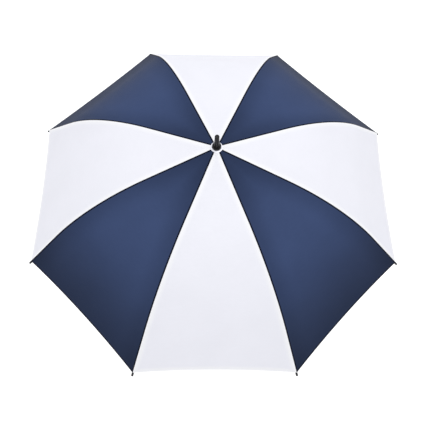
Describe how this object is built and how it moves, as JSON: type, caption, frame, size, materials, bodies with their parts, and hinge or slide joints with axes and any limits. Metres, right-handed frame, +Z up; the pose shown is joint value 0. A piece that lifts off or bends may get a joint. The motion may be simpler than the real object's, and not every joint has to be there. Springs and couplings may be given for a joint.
{
  "type": "golf umbrella",
  "caption": "Open golf umbrella: domed canopy of alternating white and navy panels on folding ribs and stretchers, with a runner, shaft, straight grip and ferrule.",
  "frame": {"origin": "on the shaft's axis at the lower end of the straight grip", "axes": "+Z up the shaft to the ferrule; -Y through the middle of the front white panel"},
  "size_m": [1.2194, 1.2194, 1.011],
  "materials": {
    "white_fabric": "satin",
    "navy_fabric": "satin",
    "black_fibreglass": "gloss",
    "black_plastic": "satin",
    "grey_plastic": "satin",
    "white_plastic": "satin",
    "spring_steel": "bright",
    "grip_foam": "matte"
  },
  "bodies": {
    "root": {"shaft": "black_fibreglass", "ferrule": "black_plastic", "crown_rosette": "white_plastic", "notch": "black_plastic", "notch_wire": "spring_steel", "grip": "grip_foam", "end_cap": "grey_plastic"},
    "runner": {"runner": "black_plastic", "runner_wire": "spring_steel"},
    "top_catch": {"top_catch": "spring_steel"},
    "bottom_catch": {"bottom_catch": "spring_steel"},
    "rib_1": {"rib_1": "black_fibreglass", "rib_joint_1": "grey_plastic", "canopy_panel_1": "white_fabric"},
    "rib_end_1": {"rib_end_1": "black_fibreglass", "tip_cap_1": "black_plastic"},
    "stretcher_1": {"stretcher_1": "black_fibreglass"},
    "rib_2": {"rib_2": "black_fibreglass", "rib_joint_2": "grey_plastic", "canopy_panel_2": "navy_fabric"},
    "rib_end_2": {"rib_end_2": "black_fibreglass", "tip_cap_2": "black_plastic"},
    "stretcher_2": {"stretcher_2": "black_fibreglass"},
    "rib_3": {"rib_3": "black_fibreglass", "rib_joint_3": "grey_plastic", "canopy_panel_3": "white_fabric"},
    "rib_end_3": {"rib_end_3": "black_fibreglass", "tip_cap_3": "black_plastic"},
    "stretcher_3": {"stretcher_3": "black_fibreglass"},
    "rib_4": {"rib_4": "black_fibreglass", "rib_joint_4": "grey_plastic", "canopy_panel_4": "navy_fabric"},
    "rib_end_4": {"rib_end_4": "black_fibreglass", "tip_cap_4": "black_plastic"},
    "stretcher_4": {"stretcher_4": "black_fibreglass"},
    "rib_5": {"rib_5": "black_fibreglass", "rib_joint_5": "grey_plastic", "canopy_panel_5": "white_fabric"},
    "rib_end_5": {"rib_end_5": "black_fibreglass", "tip_cap_5": "black_plastic", "closure_strap": "navy_fabric"},
    "stretcher_5": {"stretcher_5": "black_fibreglass"},
    "rib_6": {"rib_6": "black_fibreglass", "rib_joint_6": "grey_plastic", "canopy_panel_6": "navy_fabric"},
    "rib_end_6": {"rib_end_6": "black_fibreglass", "tip_cap_6": "black_plastic"},
    "stretcher_6": {"stretcher_6": "black_fibreglass"},
    "rib_7": {"rib_7": "black_fibreglass", "rib_joint_7": "grey_plastic", "canopy_panel_7": "white_fabric"},
    "rib_end_7": {"rib_end_7": "black_fibreglass", "tip_cap_7": "black_plastic"},
    "stretcher_7": {"stretcher_7": "black_fibreglass"},
    "rib_8": {"rib_8": "black_fibreglass", "rib_joint_8": "grey_plastic", "canopy_panel_8": "navy_fabric"},
    "rib_end_8": {"rib_end_8": "black_fibreglass", "tip_cap_8": "black_plastic"},
    "stretcher_8": {"stretcher_8": "black_fibreglass"}
  },
  "joints": [
    {"name": "rib_1_fold", "type": "hinge", "parent": "root", "child": "rib_1", "pos_m": [-0.00459, -0.01109, 0.93645], "axis": [0.9239, -0.3827, 0], "range_deg": [0, 75], "deforming": ["canopy_panel_1", "top_catch", "bottom_catch"]},
    {"name": "stretcher_1_pivot", "type": "hinge", "parent": "rib_1", "child": "stretcher_1", "pos_m": [-0.13578, -0.3278, 0.84961], "axis": [0.9239, -0.3827, 0], "range_deg": [-150, 0]},
    {"name": "rib_end_1_bend", "type": "hinge", "parent": "rib_1", "child": "rib_end_1", "pos_m": [-0.14154, -0.34172, 0.85151], "axis": [0.9239, -0.3827, 0], "range_deg": [-25, 0]},
    {"name": "rib_2_fold", "type": "hinge", "parent": "root", "child": "rib_2", "pos_m": [0.00459, -0.01109, 0.93645], "axis": [0.9239, 0.3827, 0], "range_deg": [0, 75], "deforming": ["canopy_panel_2"]},
    {"name": "stretcher_2_pivot", "type": "hinge", "parent": "rib_2", "child": "stretcher_2", "pos_m": [0.13578, -0.3278, 0.84961], "axis": [0.9239, 0.3827, 0], "range_deg": [-150, 0]},
    {"name": "rib_end_2_bend", "type": "hinge", "parent": "rib_2", "child": "rib_end_2", "pos_m": [0.14154, -0.34172, 0.85151], "axis": [0.9239, 0.3827, 0], "range_deg": [-25, 0]},
    {"name": "rib_3_fold", "type": "hinge", "parent": "root", "child": "rib_3", "pos_m": [0.01109, -0.00459, 0.93645], "axis": [0.3827, 0.9239, 0], "range_deg": [0, 75], "deforming": ["canopy_panel_3"]},
    {"name": "stretcher_3_pivot", "type": "hinge", "parent": "rib_3", "child": "stretcher_3", "pos_m": [0.3278, -0.13578, 0.84961], "axis": [0.3827, 0.9239, 0], "range_deg": [-150, 0]},
    {"name": "rib_end_3_bend", "type": "hinge", "parent": "rib_3", "child": "rib_end_3", "pos_m": [0.34172, -0.14154, 0.85151], "axis": [0.3827, 0.9239, 0], "range_deg": [-25, 0]},
    {"name": "rib_4_fold", "type": "hinge", "parent": "root", "child": "rib_4", "pos_m": [0.01109, 0.00459, 0.93645], "axis": [-0.3827, 0.9239, 0], "range_deg": [0, 75], "deforming": ["canopy_panel_4"]},
    {"name": "stretcher_4_pivot", "type": "hinge", "parent": "rib_4", "child": "stretcher_4", "pos_m": [0.3278, 0.13578, 0.84961], "axis": [-0.3827, 0.9239, 0], "range_deg": [-150, 0]},
    {"name": "rib_end_4_bend", "type": "hinge", "parent": "rib_4", "child": "rib_end_4", "pos_m": [0.34172, 0.14154, 0.85151], "axis": [-0.3827, 0.9239, 0], "range_deg": [-25, 0]},
    {"name": "rib_5_fold", "type": "hinge", "parent": "root", "child": "rib_5", "pos_m": [0.00459, 0.01109, 0.93645], "axis": [-0.9239, 0.3827, 0], "range_deg": [0, 75], "deforming": ["canopy_panel_5"]},
    {"name": "stretcher_5_pivot", "type": "hinge", "parent": "rib_5", "child": "stretcher_5", "pos_m": [0.13578, 0.3278, 0.84961], "axis": [-0.9239, 0.3827, 0], "range_deg": [-150, 0]},
    {"name": "rib_end_5_bend", "type": "hinge", "parent": "rib_5", "child": "rib_end_5", "pos_m": [0.14154, 0.34172, 0.85151], "axis": [-0.9239, 0.3827, 0], "range_deg": [-25, 0]},
    {"name": "rib_6_fold", "type": "hinge", "parent": "root", "child": "rib_6", "pos_m": [-0.00459, 0.01109, 0.93645], "axis": [-0.9239, -0.3827, 0], "range_deg": [0, 75], "deforming": ["canopy_panel_6"]},
    {"name": "stretcher_6_pivot", "type": "hinge", "parent": "rib_6", "child": "stretcher_6", "pos_m": [-0.13578, 0.3278, 0.84961], "axis": [-0.9239, -0.3827, 0], "range_deg": [-150, 0]},
    {"name": "rib_end_6_bend", "type": "hinge", "parent": "rib_6", "child": "rib_end_6", "pos_m": [-0.14154, 0.34172, 0.85151], "axis": [-0.9239, -0.3827, 0], "range_deg": [-25, 0]},
    {"name": "rib_7_fold", "type": "hinge", "parent": "root", "child": "rib_7", "pos_m": [-0.01109, 0.00459, 0.93645], "axis": [-0.3827, -0.9239, 0], "range_deg": [0, 75], "deforming": ["canopy_panel_7"]},
    {"name": "stretcher_7_pivot", "type": "hinge", "parent": "rib_7", "child": "stretcher_7", "pos_m": [-0.3278, 0.13578, 0.84961], "axis": [-0.3827, -0.9239, 0], "range_deg": [-150, 0]},
    {"name": "rib_end_7_bend", "type": "hinge", "parent": "rib_7", "child": "rib_end_7", "pos_m": [-0.34172, 0.14154, 0.85151], "axis": [-0.3827, -0.9239, 0], "range_deg": [-25, 0]},
    {"name": "rib_8_fold", "type": "hinge", "parent": "root", "child": "rib_8", "pos_m": [-0.01109, -0.00459, 0.93645], "axis": [0.3827, -0.9239, 0], "range_deg": [0, 75], "deforming": ["canopy_panel_8"]},
    {"name": "stretcher_8_pivot", "type": "hinge", "parent": "rib_8", "child": "stretcher_8", "pos_m": [-0.3278, -0.13578, 0.84961], "axis": [0.3827, -0.9239, 0], "range_deg": [-150, 0]},
    {"name": "rib_end_8_bend", "type": "hinge", "parent": "rib_8", "child": "rib_end_8", "pos_m": [-0.34172, -0.14154, 0.85151], "axis": [0.3827, -0.9239, 0], "range_deg": [-25, 0]},
    {"name": "runner_pivot", "type": "hinge", "parent": "stretcher_1", "child": "runner", "pos_m": [-0.00459, -0.01109, 0.76277], "axis": [0.9239, -0.3827, 0], "range_deg": [0, 75]},
    {"name": "top_catch_press", "type": "hinge", "parent": "root", "child": "top_catch", "pos_m": [0.0055, 0, 0.69937], "axis": [0, -1, 0], "range_deg": [0, 7], "stiffness_Nm_per_rad": 1.5},
    {"name": "bottom_catch_press", "type": "hinge", "parent": "root", "child": "bottom_catch", "pos_m": [0.0055, 0, 0.22178], "axis": [0, 1, 0], "range_deg": [0, 7], "stiffness_Nm_per_rad": 1.5}
  ],
  "couplings": [
    {"joint": "stretcher_1_pivot", "follows": "rib_1_fold", "ratio": -2},
    {"joint": "rib_end_1_bend", "follows": "rib_1_fold", "ratio": -0.33333},
    {"joint": "rib_2_fold", "follows": "rib_1_fold", "ratio": 1},
    {"joint": "stretcher_2_pivot", "follows": "rib_1_fold", "ratio": -2},
    {"joint": "rib_end_2_bend", "follows": "rib_1_fold", "ratio": -0.33333},
    {"joint": "rib_3_fold", "follows": "rib_1_fold", "ratio": 1},
    {"joint": "stretcher_3_pivot", "follows": "rib_1_fold", "ratio": -2},
    {"joint": "rib_end_3_bend", "follows": "rib_1_fold", "ratio": -0.33333},
    {"joint": "rib_4_fold", "follows": "rib_1_fold", "ratio": 1},
    {"joint": "stretcher_4_pivot", "follows": "rib_1_fold", "ratio": -2},
    {"joint": "rib_end_4_bend", "follows": "rib_1_fold", "ratio": -0.33333},
    {"joint": "rib_5_fold", "follows": "rib_1_fold", "ratio": 1},
    {"joint": "stretcher_5_pivot", "follows": "rib_1_fold", "ratio": -2},
    {"joint": "rib_end_5_bend", "follows": "rib_1_fold", "ratio": -0.33333},
    {"joint": "rib_6_fold", "follows": "rib_1_fold", "ratio": 1},
    {"joint": "stretcher_6_pivot", "follows": "rib_1_fold", "ratio": -2},
    {"joint": "rib_end_6_bend", "follows": "rib_1_fold", "ratio": -0.33333},
    {"joint": "rib_7_fold", "follows": "rib_1_fold", "ratio": 1},
    {"joint": "stretcher_7_pivot", "follows": "rib_1_fold", "ratio": -2},
    {"joint": "rib_end_7_bend", "follows": "rib_1_fold", "ratio": -0.33333},
    {"joint": "rib_8_fold", "follows": "rib_1_fold", "ratio": 1},
    {"joint": "stretcher_8_pivot", "follows": "rib_1_fold", "ratio": -2},
    {"joint": "rib_end_8_bend", "follows": "rib_1_fold", "ratio": -0.33333},
    {"joint": "runner_pivot", "follows": "rib_1_fold", "ratio": 1}
  ]
}
